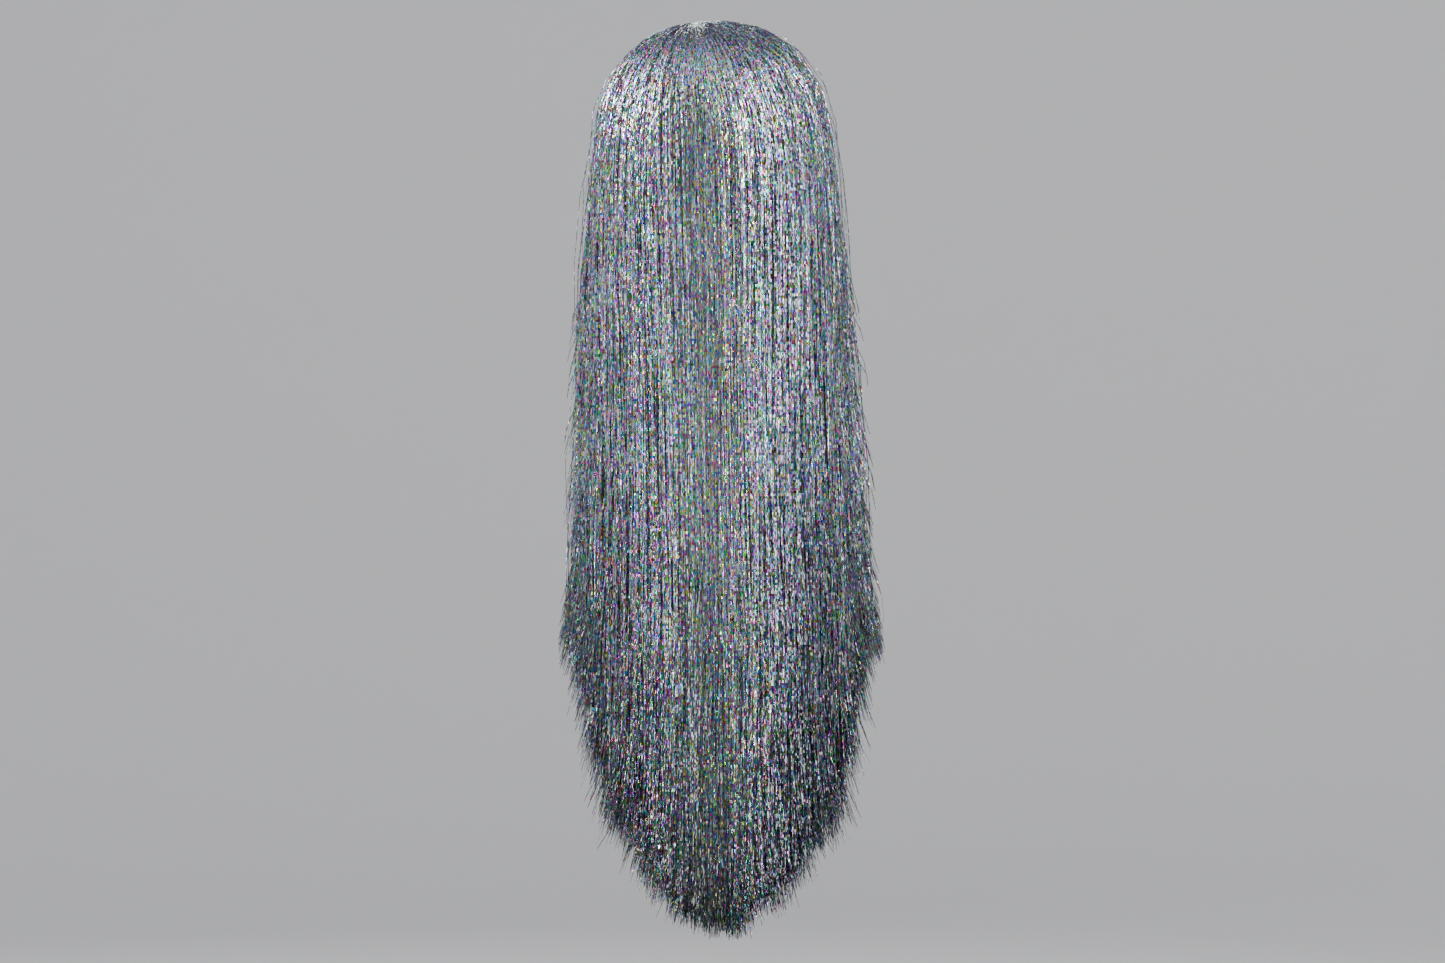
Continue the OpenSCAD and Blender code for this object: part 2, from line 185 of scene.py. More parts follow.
# Where the hair at an azimuth leaves the head: round the whorl behind, along the parting in front
def rootWay(az):
    a = np.abs(az)
    s = np.clip((a - hair["crownEnd"]) / (hair["frontAzimuth"] - hair["crownEnd"]), 0, 1.1)
    frontY, frontZ = hair["partFront"]
    bendY, bendZ = hair["partBend"]
    x = np.full_like(a, hair["partX"]) + np.sign(az) * hair["partHalf"] * (s > 0)
    y = mix(hair["whorlY"], frontY, s ** bendY)
    z = mix(head["height"], frontZ, s ** bendZ)
    return unit(np.stack([x, y, z], axis=-1))


# A socket's value in a node tree, with the maths that the materials need
class Value:
    def __init__(self, shader, socket):
        self.shader = shader
        self.socket = socket

    def op(self, operation, *values):
        return self.shader.node("ShaderNodeMath", {"operation": operation}, dict(enumerate(values)))

    def __add__(self, other):
        return self.op("ADD", self, other)

    __radd__ = __add__

    def __sub__(self, other):
        return self.op("SUBTRACT", self, other)

    def __rsub__(self, other):
        return self.op("SUBTRACT", other, self)

    def __mul__(self, other):
        return self.op("MULTIPLY", self, other)

    __rmul__ = __mul__

    def __truediv__(self, other):
        return self.op("DIVIDE", self, other)

    def __pow__(self, other):
        return self.op("POWER", self, other)

    def __gt__(self, other):
        return self.op("GREATER_THAN", self, other)

    def __lt__(self, other):
        return self.op("LESS_THAN", self, other)

    def floor(self):
        return self.op("FLOOR", self)

    def fract(self):
        return self.op("FRACT", self)

    def sine(self):
        return self.op("SINE", self)

    def absolute(self):
        return self.op("ABSOLUTE", self)

    def atLeast(self, lowest):
        return self.op("MAXIMUM", self, lowest)

    # The angle in radians of the way from Z, for self along X and other along Y
    def turnFrom(self, other):
        return self.op("ARCTAN2", self, other)

    def clamp(self):
        return self.shader.node("ShaderNodeClamp", {}, {"Value": self})


class Shader:
    def __init__(self, name):
        self.material = bpy.data.materials.new(name)
        self.material.use_nodes = True
        self.tree = self.material.node_tree
        self.surface = self.tree.nodes["Principled BSDF"]

    def node(self, kind, settings=None, inputs=None, output=0):
        made = self.tree.nodes.new(kind)
        for key, value in (settings or {}).items():
            if key == "interpolation":
                made.color_ramp.interpolation = value
            elif key == "stops":
                ramp = made.color_ramp
                while len(ramp.elements) < len(value):
                    ramp.elements.new(0.5)
                for element, (place, color) in zip(ramp.elements, value):
                    element.position = place
                    element.color = color
            else:
                setattr(made, key, value)
        for key, value in (inputs or {}).items():
            self.put(made.inputs[key], value)
        if output == "all":
            return [Value(self, out) for out in made.outputs]
        return Value(self, made.outputs[output])

    def put(self, socket, value):
        if isinstance(value, Value):
            self.tree.links.new(value.socket, socket)
        else:
            socket.default_value = value

    def set(self, **inputs):
        for key, value in inputs.items():
            self.put(self.surface.inputs[key.replace("_", " ")], value)
        return self.material

    def place(self):
        return self.node("ShaderNodeTexCoord", output="Object")

    def scaled(self, vector, scale):
        return self.vector("MULTIPLY", vector, scale)

    def vector(self, operation, *vectors, output=0):
        return self.node("ShaderNodeVectorMath", {"operation": operation}, dict(enumerate(vectors)), output)

    def split(self, vector):
        return self.node("ShaderNodeSeparateXYZ", {}, {0: vector}, output="all")

    def join(self, x, y, z):
        return self.node("ShaderNodeCombineXYZ", {}, {0: x, 1: y, 2: z})

    def mixColor(self, factor, a, b):
        return self.node("ShaderNodeMix", {"data_type": "RGBA"}, {0: factor, 6: a, 7: b}, output=2)

    def ramp(self, value, stops, interpolation="LINEAR"):
        return self.node("ShaderNodeValToRGB", {"stops": stops, "interpolation": interpolation}, {0: value})

    # Noise on Object coordinates, with its fineness along each axis or one for all
    def noise(self, fineness, detail=2.0):
        fineness = fineness if isinstance(fineness, tuple) else (fineness,) * 3
        place = self.scaled(self.place(), fineness)
        return self.node("ShaderNodeTexNoise", {}, {"Vector": place, "Scale": 1.0, "Detail": detail})

    # White noise that is the same all over one small cell
    def cells(self, size, output=0):
        cell = self.vector("FLOOR", self.scaled(self.place(), tuple(1 / side for side in size)))
        return self.node("ShaderNodeTexWhiteNoise", {"noise_dimensions": "3D"}, {"Vector": cell}, output)

    def bump(self, strength, distance, height):
        return self.node("ShaderNodeBump", {}, {"Strength": strength, "Distance": distance, "Height": height})


# Flat metallic tinsel: small flecks of rainbow foil, grey flecks whose lightest are painted glints and darkest
# painted shade, long streaks of painted light and shade, and facets that each lean their own way
tinselLook = {
    "cell": (0.0012, 0.0012, 0.0023),  # size of one fleck
    "paintedStreak": (620.0, 620.0, 7.0),  # how fine the long streaks of painted light and shade are
    "paintedGlintCell": (0.0011, 0.0011, 0.0080),  # size of a long white painted glint along a strand
    "paintedGlintShare": 0.028,  # their share of the surface
    # the tones' darkest steps are painted shade between strands, and the lightest are painted glints
    "tones": [(0.0, (0.020, 0.026, 0.038, 1)), (0.13, (0.085, 0.115, 0.175, 1)), (0.28, (0.26, 0.34, 0.50, 1)),
              (0.52, (0.50, 0.62, 0.88, 1)), (0.70, (0.90, 0.96, 1.0, 1))],
    "toneMix": (0.80, 0.75, 0.27),  # how much a fleck and its streak each add to the tone, less the last
    "rainbowShare": 0.66,
    "rainbowTint": (0.78, 0.22),  # how strongly a coloured fleck is coloured: least, and the most added
    "rainbowPale": 0.12,
    "rainbowBright": (0.60, 0.75),
    "calmTone": (0.15, 0.185, 0.26, 1),  # the smooth band round the whorl
    "calmFrom": (0.070, 0.112),  # heights between which the flecks fade into it
    "calmPower": 1.5,
    "calmShare": 0.80,
    "streakShade": (0.34, 1.70),  # painted shade on the streaks: light left in the darkest, and how fast it grows
    "streakFrom": (0.32, 0.30),
    "facet": 0.50,  # how far one fleck's facet leans
    "outward": 0.85,  # how much the strands' flat sides follow the hair's surface
    "roundness": (0.0110, 0.0125, 0.0130),
    "metallic": 0.94,
    "roughness": (0.16, 0.40),
    "endsFrom": -0.25,  # the height below which shade is painted on the ends, darker down to the tips
    "paintedEndsShade": 0.92,
    "endsKeep": (1.30, 0.75),  # light flecks take less of the painted shade
}
black = (0.0, 0.0, 0.0, 1)
white = (1.0, 1.0, 1.0, 1)


# paintedLightShare is the share of light kept where shade is painted; below 1 the whole layer is painted darker, as
# shade deep in the hair, and its painted glints are fainter
def tinselMaterial(name, paintedLightShare):
    look = tinselLook
    shader = Shader(name)
    x, y, z = shader.split(shader.place())
    fleck = shader.cells(look["cell"], output="Color")
    pick, hue, light = shader.split(fleck)
    paintedStreak = shader.noise(look["paintedStreak"], detail=1.0)

    # greys in steps from the flecks and streaks, the lightest painted glints and the darkest painted shade, and
    # rainbow flecks over them
    ofLight, ofStreak, less = look["toneMix"]
    tone = shader.ramp(light * ofLight + paintedStreak * ofStreak - less, look["tones"], "CONSTANT")
    least, more = look["rainbowBright"]
    rainbow = shader.node("ShaderNodeCombineColor", {"mode": "HSV"},
                          {0: hue, 1: 1.0 - look["rainbowPale"] * light, 2: (least + more * light).clamp()})
    least, more = look["rainbowTint"]
    tinted = (pick < look["rainbowShare"]) * (least + more * hue * (1 - hue) * 4)
    color = shader.mixColor(tinted.clamp(), tone, rainbow)

    # the calm band at the whorl, then painted shade: the dark streaks between strands and the darker ends
    low, high = look["calmFrom"]
    calm = ((z - low) / (high - low)).clamp() ** look["calmPower"]
    color = shader.mixColor(calm * look["calmShare"], color, look["calmTone"])
    # painted shade between strands, strongest on the dark streaks
    least, more = look["streakShade"]
    start, over = look["streakFrom"]
    paintedStreakShade = 1 - paintedLightShare * (least + more * ((paintedStreak - start) / over).clamp()).clamp()
    color = shader.mixColor(paintedStreakShade, color, black)
    # painted shade, darker towards the ends of the strands; light flecks take less of it
    ends = ((look["endsFrom"] - z) / (look["endsFrom"] - hair["tip"])).clamp()
    keep, lighter = look["endsKeep"]
    color = shader.mixColor(ends * look["paintedEndsShade"] * (keep - lighter * light).clamp(), color, black)
    # painted highlights: long white glints along the strands, none in the calm band and fainter in the inner layers
    paintedGlintMask = shader.cells(look["paintedGlintCell"]) < look["paintedGlintShare"]
    color = shader.mixColor(paintedGlintMask * (1 - calm) * paintedLightShare, color, white)

    # each facet leans its own way from the hair's surface, on whichever side of the strand faces out
    roundX, roundY, roundZ = look["roundness"]
    outward = shader.vector("NORMALIZE", shader.join(x / roundX, y / roundY, z.atLeast(0.0) / roundZ))
    normal = shader.node("ShaderNodeNewGeometry", output="Normal")
    faces = shader.vector("DOT_PRODUCT", outward, normal, output="Value") > 0
    side = faces * (2 * look["outward"]) - look["outward"]
    lean = shader.scaled(shader.vector("SUBTRACT", fleck, (0.5, 0.5, 0.5)), (look["facet"],) * 3)
    facet = shader.vector("ADD", shader.scaled(outward, shader.join(side, side, side)),
                          shader.scaled(normal, (1 - look["outward"],) * 3))
    facet = shader.vector("NORMALIZE", shader.vector("ADD", facet, lean))
    low, high = look["roughness"]
    return shader.set(Base_Color=color, Metallic=look["metallic"], Roughness=low + (high - low) * pick, Normal=facet)


strand = {
    "width": 0.0009,
    "thickness": 0.0002,
    "widths": (0.75, 1.15),  # least and most, as shares of the width
    "tipWidth": 0.5,
    # shares of a strand's length at which its points lie: close on the head, and close at the end
    "shares": [0, 0.012, 0.034, 0.068, 0.112, 0.165, 0.228, 0.312, 0.425, 0.565, 0.720, 0.880, 0.965, 1.0],
}


# Lays strands along their paths. Each is a thin closed ribbon, made from a spline with a flat section.
def layStrands(name, paths, tilts, widths, material):
    section = bpy.data.curves.new(name + "Section", "CURVE")
    section.dimensions = "2D"
    outline = section.splines.new("POLY")
    outline.points.add(2)
    half = strand["width"] / 2
    for point, place in zip(outline.points, [(-half, 0), (half, 0), (0, strand["thickness"])]):
        point.co = (*place, 0, 1)
    outline.use_cyclic_u = True
    sectionObject = bpy.data.objects.new(name + "Section", section)
    curve = bpy.data.curves.new(name + "Curve", "CURVE")
    curve.dimensions = "3D"
    curve.bevel_mode = "OBJECT"
    curve.bevel_object = sectionObject
    curve.use_fill_caps = True
    for path, tilt, width in zip(paths, tilts, widths):
        spline = curve.splines.new("POLY")
        spline.points.add(len(path) - 1)
        co = np.ones((len(path), 4))
        co[:, :3] = path
        spline.points.foreach_set("co", co.ravel())
        spline.points.foreach_set("tilt", tilt)
        spline.points.foreach_set("radius", width)
    holder = bpy.data.objects.new(name + "Curve", curve)
    bpy.context.collection.objects.link(sectionObject)
    bpy.context.collection.objects.link(holder)
    mesh = bpy.data.meshes.new_from_object(holder.evaluated_get(bpy.context.evaluated_depsgraph_get()))
    bpy.data.objects.remove(holder)
    bpy.data.objects.remove(sectionObject)
    mesh.name = name
    bm = bmesh.new()
    bm.from_mesh(mesh)
    bmesh.ops.remove_doubles(bm, verts=bm.verts, dist=1e-6)
    bm.to_mesh(mesh)
    bm.free()
    mesh.materials.clear()
    mesh.materials.append(material)
    piece = bpy.data.objects.new(name, mesh)
    bpy.context.collection.objects.link(piece)
    print(name, len(paths), "strands", sum(len(p.vertices) - 2 for p in mesh.polygons), "triangles")
    return piece


growth = {
    "headRun": 0.150,  # length of a path from the parting to the hat line, for spacing its points
    "rootOff": 0.0032,  # how far off the cap the roots are
    "rootsLean": 1.8,  # above 1, more strands leave near the start of a layer, so the parting is covered
    "riseOver": 0.030,  # how soon a strand rises off the cap into its layer
    "riseAtRoot": 0.30,
    "riseAtPart": 0.80,
    "riseReach": 0.025,
    "ringLeast": 0.25,
    "layerOver": 0.001,  # the least that a strand lies over its root once it has risen
    "lockSize": 3.0,
    "lockBlur": 0.8,
    "lockPull": 0.30,  # how much strands gather into locks towards their ends
    "lockShift": 0.8,
    "lockShort": 0.008,
    "locks": 400,
    "endSpread": 0.020,
    "shortShare": 0.30,  # share of strands that end well above the hem
    "shortReach": 0.30,
    "shortLean": 1.4,
    "fallRun": 0.62,  # length of a fall, over which the locks gather
    "freeRun": 0.12,  # length over which a strand leaves its straight path
    "waves": [(9, 0.9), (23, 0.35)],  # how many turn in a metre, as an angle, and how wide in degrees
    "wander": (0.6, 1.3),
    "ripple": (15, 0.0013),
    "stray": 0.0065,  # half of how far the loosest strands stand off
    "strayWave": 14,
    "endRun": 0.045,  # length of the ends that turn outwards and sideways
    "splay": 0.0078,
    "splaySide": (2.3, 0.8),  # in degrees: each its own way, and all away from the middle
    "splayMost": 2.2,
    "standOff": 0.013,  # the most that any strand stands off the outline
    "twist": 0.35,
}


# Points of a strand at distances along it. Roots sit on the cap and the strand then rises into its layer.
def strandPoints(run, rootRun, az, depth):
    share = np.clip(run / growth["headRun"], 0, 1)[..., None]
    u = slerp(rootWay(az), levelWay(az), share)
    z = np.minimum(0, growth["headRun"] - run)
    onHead = hairRadius(u, hair["halfWidth"], hair["back"])
    outer = np.where(z < 0, hairRadius(u, fallWidth(z), fallBack(z)), onHead)
    ring = np.sqrt(np.maximum(growth["ringLeast"], 1 - (z / head["height"]) ** 2))
    onCloth = capRadius(u, growth["rootOff"]) * ring
    atRoot = mix(growth["riseAtPart"], growth["riseAtRoot"], smooth(rootRun / growth["riseReach"]))
    rise = smooth((run - rootRun) / growth["riseOver"] * (1 - atRoot) + atRoot)
    r = mix(onCloth, np.maximum(outer - depth, onCloth + growth["layerOver"]), rise)
    p = u * r[..., None]
    p[..., 2] = np.where(z < 0, z, p[..., 2])
    p[..., 0] += fallLean(z)
    return p


# A layer's strands. The order of the random draws sets every strand, so a new draw goes last.
def makeHair(name, seed, count, azimuths, roots, depths, drop, loose, material):
    rng = np.random.default_rng(seed)
    headRun = growth["headRun"]
    az0 = rng.uniform(*azimuths, count)
    rootRun = mix(roots[0], roots[1], rng.uniform(0, 1, count) ** growth["rootsLean"]) * headRun
    layer = rng.uniform(0, 1, count)
    # the lower a root is, the deeper its strand lies
    order = 0.5 * (rootRun / headRun - roots[0]) / (roots[1] - roots[0]) + 0.5 * layer
    depth = mix(depths[0], depths[1], order) * fallDepth(az0)

    # locks, and where each strand ends
    lockSize, locks = growth["lockSize"], growth["locks"]
    lock = np.round((az0 + rng.normal(0, growth["lockBlur"], count)) / lockSize) * lockSize
    lockShift = np.random.default_rng(seed + 7).normal(0, 1, locks)[(lock * 2 + locks / 2).astype(int) % locks]
    endZ = hemHeight(az0) + drop + np.abs(rng.normal(0, growth["endSpread"], count))
    endZ = endZ + growth["lockShort"] * (lockShift + 1).clip(0)
    short = (rng.uniform(0, 1, count) < growth["shortShare"]) * rng.uniform(0, 1, count) ** growth["shortLean"]
    endZ = endZ + short * growth["shortReach"]
    runEnd = headRun - endZ
    run = rootRun[:, None] + (runEnd - rootRun)[:, None] * np.array(strand["shares"])[None, :]

    # slow waves, more of them further down, and a pull towards the lock
    n = run.shape[1]
    down = smooth((run - headRun) / growth["fallRun"])
    free = smooth((run - rootRun[:, None]) / growth["freeRun"])
    waveA = rng.normal(0, 1, (count, 1))
    waveB = rng.normal(0, 1, (count, 1))
    phase = rng.uniform(0, 6.28, (count, 1))
    (turnsA, wideA), (turnsB, wideB) = growth["waves"]
    wander = waveA * np.sin(run * turnsA + phase) * wideA + waveB * np.sin(run * turnsB + phase * 2) * wideB
    atTop, added = growth["wander"]
    az = az0[:, None] + wander * free * (atTop + added * down)
    az = az + (lock + lockShift * growth["lockShift"] - az0)[:, None] * growth["lockPull"] * down
    wild = (rng.uniform(0, 1, (count, 1)) < loose) * rng.uniform(0.2, 1, (count, 1))
    turns, deepest = growth["ripple"]
    deep = depth[:, None] + free * deepest * rng.normal(0, 1, (count, 1)) * np.sin(run * turns + phase)
    deep = deep - wild * free * growth["stray"] * (1 + np.sin(run * growth["strayWave"] + phase * 3))

    # the ends turn outwards and sideways
    last = smooth((run - (runEnd[:, None] - growth["endRun"])) / growth["endRun"])
    turn = np.abs(rng.normal(0, 1, (count, 1))).clip(0, growth["splayMost"])
    deep = deep - last * growth["splay"] * turn
    ownWay, away = growth["splaySide"]
    az = az + last * rng.normal(0, ownWay, (count, 1)) + last * np.sign(az) * away
    deep = np.maximum(deep, -growth["standOff"])
    points = strandPoints(run, rootRun[:, None], az, deep)
    twist = np.cumsum(rng.normal(0, growth["twist"], (count, n)), axis=1) + rng.uniform(-3.14, 3.14, (count, 1))
    width = np.ones((count, n)) * rng.uniform(*strand["widths"], (count, 1))
    width[:, -1] *= strand["tipWidth"]
    return layStrands(name, points, twist, width, material)


# the inner layers take a darker copy of the tinsel: painted shade for the hair deep inside
tinsels = {
    "outer_tinsel": tinselMaterial("outerTinsel", 1.0),
    "inner_tinsel": tinselMaterial("innerTinselPaintedShade", 0.72),
}
split = hair["splitAzimuth"]
front = hair["frontAzimuth"]

layers = {
    "strands": 1.0,
    # name, seed, strands, azimuths, roots, depths, shortening, loose share, nodes
    "back": [
        ("back_outer_tinsel", 11, 2400, (-split, split), (0.0, 0.50), (0.0, 0.34), 0.004, 0.05,
         ["crown_hair", "back_fall_1"]),
        ("back_upper_tinsel", 12, 2400, (-split, split), (0.16, 0.85), (0.20, 0.68), 0.002, 0.0, ["back_fall_2"]),
        ("back_lower_tinsel", 13, 1900, (-split, split), (0.75, 1.15), (0.62, 1.0), 0.006, 0.0, ["back_fall_3"]),
        ("nape_tinsel", 14, 1500, (-36, 36), (1.12, 1.40), (1.05, 1.5), 0.0, 0.0, ["back_fall_4"]),
    ],
    # name after the side, seed, strands, roots, depths, shortening, loose share, nodes after the side
    "side": [
        ("outer_tinsel", 21, 2400, (0.0, 0.60), (0.0, 0.55), -0.012, 0.04, ["top_hair", "fall_1"]),
        ("inner_tinsel", 22, 2100, (0.35, 0.98), (0.45, 1.0), 0.008, 0.0, ["fall_2"]),
    ],
    "rightSeed": 10,  # added to the seed on the right
    # where the hair turns from the cap to its fall
    "backBend": ((0, 0.088, 0.0), (0, 0.088, -0.110)),
    "sideBend": ((0.099, 0, 0.005), (0.099, 0, -0.095)),
}


def hairPiece(name, seed, count, azimuths, roots, depths, drop, loose, nodes, body, bend):
    slot = "outer_tinsel" if loose else "inner_tinsel"
    count = int(count * layers["strands"])
    piece = makeHair(name, seed, count, azimuths, roots, depths, drop, loose, tinsels[slot])
    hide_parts(*nodes)
    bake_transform(piece)


for layer in layers["back"]:
    hairPiece(*layer, "back_hair", layers["backBend"])
for side, sign in (("left", 1), ("right", -1)):
    azimuths = (split, front) if sign > 0 else (-front, -split)
    bend = [(sign * x, y, z) for x, y, z in layers["sideBend"]]
    for name, seed, count, roots, depths, drop, loose, nodes in layers["side"]:
        seed = seed + layers["rightSeed"] * (sign < 0)
        nodes = [side + "_" + node for node in nodes]
        hairPiece(side + "_" + name, seed, count, azimuths, roots, depths, drop, loose, nodes, side + "_hair", bend)
print("hair made")


cap = {
    "netLow": 0.026,
    "napeBand": 0.024,
    "frontBand": 0.022,
    "napeEnd": 61.0,
    "laceEnd": 112.0,
    "napeHeight": -0.066,  # the edge's height at the nape; it rises over the ears and again over the forehead
    "earRise": (0.062, 35, 50),  # how much, from which azimuth and over how many degrees
    "foreheadRise": (0.049, 100, 80),
    "seam": 0.0004,
    "seamAngle": 0.4,
    "thickness": 0.0008,
    "stretch": 1.04,  # how much the cloth is stretched on the head
    "netCut": (0.25, 0.27),  # the crown's net before it is stretched over the head
    "netSpread": 0.6,
    "narrow": 0.010,  # the least width that each cloth piece's narrower side is compared with
}

capShades = {
    "cloth": (0.20, 0.22, 0.27, 1),
    "net": (0.17, 0.19, 0.235, 1),
    "thread": (0.48, 0.52, 0.58, 1),
    "elastic": (0.62, 0.62, 0.62, 1),
    "elasticThread": (0.30, 0.30, 0.31, 1),
    "skinTop": (0.58, 0.44, 0.37, 1),
    "skinLight": (0.72, 0.58, 0.50, 1),
}


def darker(color, share):
    return tuple(c * share for c in color[:3]) + (1,)


# An azimuth past 180 degrees is the same as one on the other side
def wrapped(az):
    return az - 360 if az > 180 else az


def edgeHeight(az):
    a = abs(wrapped(az))
    earRise, earFrom, earOver = cap["earRise"]
    foreheadRise, foreheadFrom, foreheadOver = cap["foreheadRise"]
    back = cap["napeHeight"] + earRise * float(smooth((a - earFrom) / earOver))
    return back + foreheadRise * float(smooth((a - foreheadFrom) / foreheadOver))


def netLow(az):
    return max(cap["netLow"], edgeHeight(az) + cap["frontBand"])


def napeTop(az):
    return edgeHeight(az) + cap["napeBand"]


def onCap(az, z, off):
    k = math.sqrt(max(0.0, 1 - (z / head["height"]) ** 2))
    r = math.radians(az)
    return Vector(((head["halfWidth"] + off) * k * math.sin(r), (head["halfLength"] + off) * k * math.cos(r),
                   z * (head["height"] + off) / head["height"]))


# Makes a piece of cloth from its outer surface, with a UV place for each vertex, and gives the surface's area
def clothPiece(name, bm, flat, material, thickness):
    uv = bm.loops.layers.uv.new("UVMap")
    for face in bm.faces:
        for loop in face.loops:
            loop[uv].uv = flat[loop.vert.index]
    bmesh.ops.recalc_face_normals(bm, faces=bm.faces)
    seen = max(bm.faces, key=lambda face: face.calc_area())
    if seen.normal.dot(seen.calc_center_median()) < 0:
        bmesh.ops.reverse_faces(bm, faces=bm.faces)
    area = sum(face.calc_area() for face in bm.faces)
    mesh = bpy.data.meshes.new(name)
    bm.to_mesh(mesh)
    bm.free()
    mesh.shade_smooth()
    mesh.materials.append(material)
    piece = bpy.data.objects.new(name, mesh)
    bpy.context.collection.objects.link(piece)
    wall = piece.modifiers.new("wall", "SOLIDIFY")
    wall.thickness = thickness
    wall.offset = 1.0
    return piece, area


# A piece of cloth on the cap, from one azimuth to another and between two edges. Its UV map is in metres.
def capCloth(name, azimuths, low, high, material, cells, off=0.0, thickness=cap["thickness"]):
    bm = bmesh.new()
    bmesh.ops.create_grid(bm, x_segments=cells[0], y_segments=cells[1], size=0.5)
    a, b = azimuths
    long = math.radians(b - a) * (head["halfWidth"] + head["halfLength"]) / 2
    flat = {}
    for vert in bm.verts:
        s, t = vert.co.x + 0.5, vert.co.y + 0.5
        az = mix(a, b, s)
        lowest, highest = low(az), high(az)
        flat[vert.index] = (s * long, t * (highest - lowest))
        vert.co = onCap(wrapped(az), mix(lowest, highest, t), off(az) if callable(off) else off)
    piece, area = clothPiece(name, bm, flat, material, thickness)
    area = area / cap["stretch"]
    tall = max(t for s, t in flat.values())
    wide = max(area / tall, long / cap["stretch"])
    min(wide, tall) > cap["narrow"]
    return piece


def finishCloth(piece, node, body):
    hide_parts(node)
    if body:
        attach(piece, body)


# Knitted net: round holes in rows, each row set half a hole along
def netMaterial(name, color, hole, size):
    shader = Shader(name)
    u, v = shader.split(shader.node("ShaderNodeTexCoord", output="UV"))[:2]
    row = (v / size).floor()
    across = (u / size + 0.5 * (row * 0.5).fract() * 2).fract() - 0.5
    up = (v / size).fract() - 0.5
    away = (across * across + up * up) ** 0.5
    fuzz = shader.noise(1500)
    tone = shader.mixColor(fuzz, darker(color, 0.55), color)
    bump = shader.bump(0.6, 0.0003, away + fuzz * 0.3)
    return shader.set(Base_Color=tone, Roughness=0.8, Alpha=away > hole, Normal=bump)


# Close knit with ribs along its length, and an overlocked line of thread near each long edge
def bandMaterial(name, color, thread, tall, rib=0.0011):
    stitch = {"length": 0.0032, "swing": 0.0048, "half": 0.00028, "fromLow": 0.0012, "fromHigh": 0.0036}
    shader = Shader(name)
    u, v = shader.split(shader.node("ShaderNodeTexCoord", output="UV"))[:2]
    wave = (u * (math.tau / rib)).sine() * 0.5 + 0.5
    knit = shader.noise(1700)
    zigzag = ((u / stitch["length"]).fract() - 0.5).absolute() * stitch["swing"]
    nearLow = (v - stitch["fromLow"] - zigzag).absolute() < stitch["half"]
    nearHigh = (v - (tall - stitch["fromHigh"]) - zigzag).absolute() < stitch["half"]
    sewn = (nearLow + nearHigh).clamp()
    cloth = shader.mixColor(wave * 0.45 + knit * 0.4, color, darker(color, 0.42))
    tone = shader.mixColor(sewn, cloth, thread)
    bump = shader.bump(0.7, 0.0004, wave * 0.5 + knit * 0.3 + sewn * 1.2)
    return shader.set(Base_Color=tone, Roughness=0.78 + 0.12 * knit - 0.25 * sewn, Normal=bump)


capNet = netMaterial("capNet", capShades["net"], 0.40, 0.0026)
sideLace = netMaterial("sideLace", capShades["net"], 0.34, 0.0019)
ribLace = netMaterial("ribLace", capShades["cloth"], 0.28, 0.0016)
stretchBand = bandMaterial("stretchBand", capShades["cloth"], capShades["thread"], cap["napeBand"])
frontBandKnit = bandMaterial("frontBandKnit", capShades["cloth"], capShades["thread"], cap["frontBand"])
elasticWebbing = bandMaterial("elasticWebbing", capShades["elastic"], capShades["elasticThread"], 0.009, rib=0.0008)

seam = cap["seam"]
napeEnd = cap["napeEnd"] - cap["seamAngle"]
piece = capCloth("nape_stretch_band", (-napeEnd, napeEnd), edgeHeight, napeTop, stretchBand, (60, 6))
finishCloth(piece, "nape_band", "cap")
piece = capCloth("front_stretch_band", (cap["laceEnd"], 360 - cap["laceEnd"]), edgeHeight,
                 lambda az: netLow(az) - seam, frontBandKnit, (70, 6))
finishCloth(piece, "front_band", "cap")

ribs = {
    "count": 5,
    "step": 24.0,
    "half": 2.7,
}
for k in range(1, ribs["count"] + 1):
    middle = (k - (ribs["count"] + 1) / 2) * ribs["step"]
    piece = capCloth("lace_rib_%d" % k, (middle - ribs["half"], middle + ribs["half"]),
                     lambda az: napeTop(az) + seam, lambda az: cap["netLow"] - seam, ribLace, (4, 24))
    finishCloth(piece, "rib_%d" % k, "cap")

earTab = {
    "azimuth": 104.0,
    "half": 5.0,
    "tip": -0.036,
    "corner": 0.45,  # how far up the tab's height its lower corners are
}
adjuster = {
    "sewn": 55.0,  # azimuths of the strap's seam and of the hook's slot
    "slot": 30.2,
    "off": -0.0014,
    "slotOff": -0.0029,
    "half": 0.0045,
    "slotHalf": 0.0030,
    "bendFrom": 31.0,
    "bendOver": 5.0,
    "thickness": 0.0009,
    "hookReach": 2.0,
}


def strapHeight(az):
    return edgeHeight(az) + cap["napeBand"] / 2


# The strap bends in towards the hook's slot, and is gathered a little to pass through it
def strapBend(az):
    return float(smooth((abs(az) - adjuster["bendFrom"]) / adjuster["bendOver"]))


def strapOff(az):
    return mix(adjuster["slotOff"], adjuster["off"], strapBend(az))


def strapHalf(az):
    return mix(adjuster["slotHalf"], adjuster["half"], strapBend(az))


def onStrap(az, sign):
    return tuple(onCap(sign * az, strapHeight(az), adjuster["off"]))


